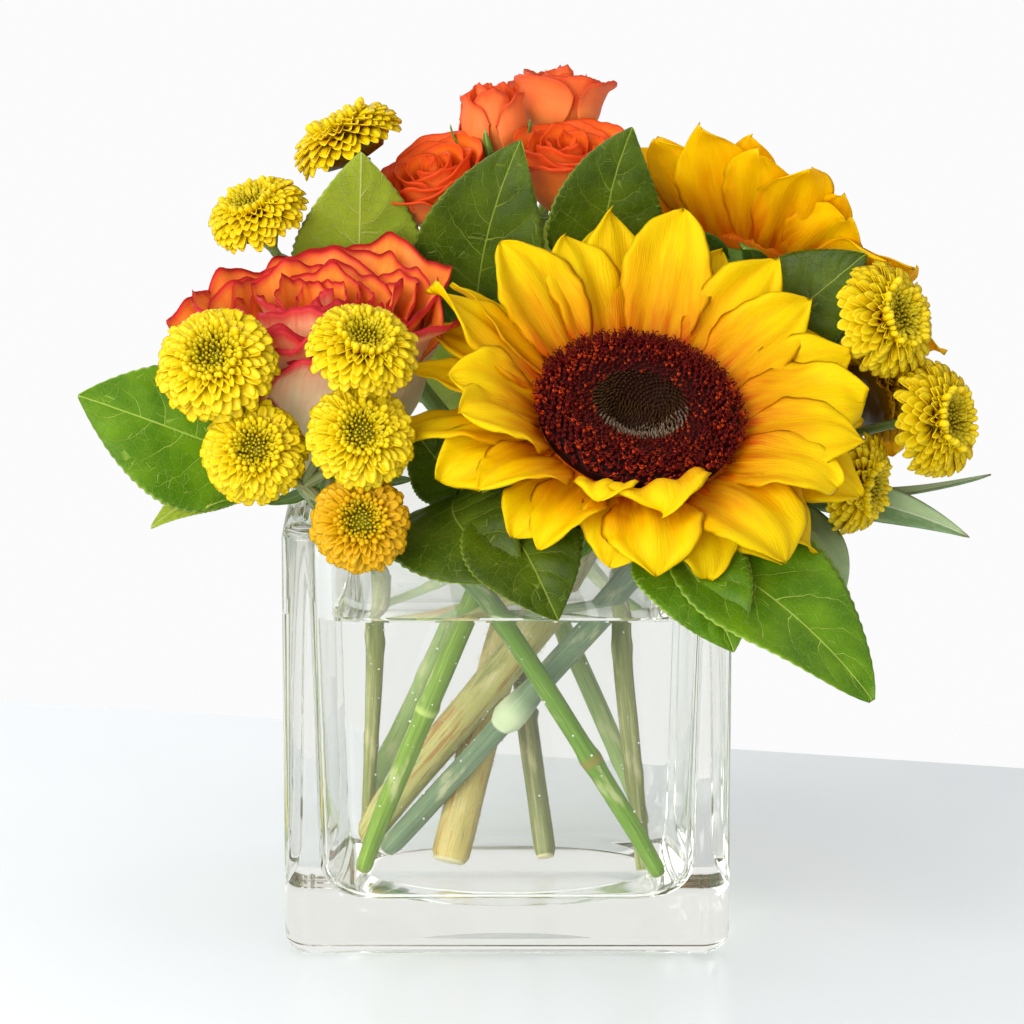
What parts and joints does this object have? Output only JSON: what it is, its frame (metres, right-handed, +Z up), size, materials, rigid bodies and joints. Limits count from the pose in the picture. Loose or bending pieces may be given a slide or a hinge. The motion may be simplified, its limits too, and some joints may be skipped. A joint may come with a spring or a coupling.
{
  "type": "mixed sunflower bouquet in a square glass vase",
  "caption": "Cut-flower bouquet of sunflowers, roses, button chrysanthemums and leafy sprigs, standing in water in a low square clear glass vase.",
  "frame": {"origin": "centre of the vase's flat underside", "axes": "+Z up out of the vase, -Y towards the front of the bouquet, +X to the right as seen from the front"},
  "size_m": [0.261, 0.2248, 0.2406],
  "materials": {
    "sunflower_petals": "satin",
    "sunflower_petals_deep": "satin",
    "sunflower_disc": "matte",
    "sunflower_green": "matte",
    "bicolour_rose_petals": "satin",
    "spray_rose_petals": "satin",
    "rose_green": "satin",
    "pompon_petals": "satin",
    "pompon_green": "matte",
    "salal_green": "satin",
    "sage_green": "matte",
    "vase_glass": "polished",
    "vase_water": "polished"
  },
  "bodies": {
    "root": {"front_sunflower_rays": "sunflower_petals", "front_sunflower_disc": "sunflower_disc", "front_sunflower_calyx_and_stem": "sunflower_green", "back_sunflower_rays": "sunflower_petals_deep", "back_sunflower_disc": "sunflower_disc", "back_sunflower_calyx_and_stem": "sunflower_green", "bicolour_rose_petals": "bicolour_rose_petals", "bicolour_rose_hip_and_stem": "rose_green", "spray_rose_1_petals": "spray_rose_petals", "spray_rose_2_petals": "spray_rose_petals", "spray_rose_3_petals": "spray_rose_petals", "spray_rose_4_petals": "spray_rose_petals", "spray_rose_stem": "rose_green", "pompon_01": "pompon_petals", "pompon_02": "pompon_petals", "pompon_03": "pompon_petals", "pompon_04": "pompon_petals", "pompon_05": "pompon_petals", "pompon_06": "pompon_petals", "pompon_07": "pompon_petals", "pompon_08": "pompon_petals", "pompon_09": "pompon_petals", "pompon_10": "pompon_petals", "pompon_11": "pompon_petals", "back_pompon_stem": "pompon_green", "left_pompon_stem": "pompon_green", "right_pompon_stem": "pompon_green", "left_salal_sprig": "salal_green", "centre_salal_sprig": "salal_green", "front_salal_sprig": "salal_green", "sage_sprig": "sage_green", "glass_vase": "vase_glass", "water": "vase_water"}
  },
  "joints": []
}
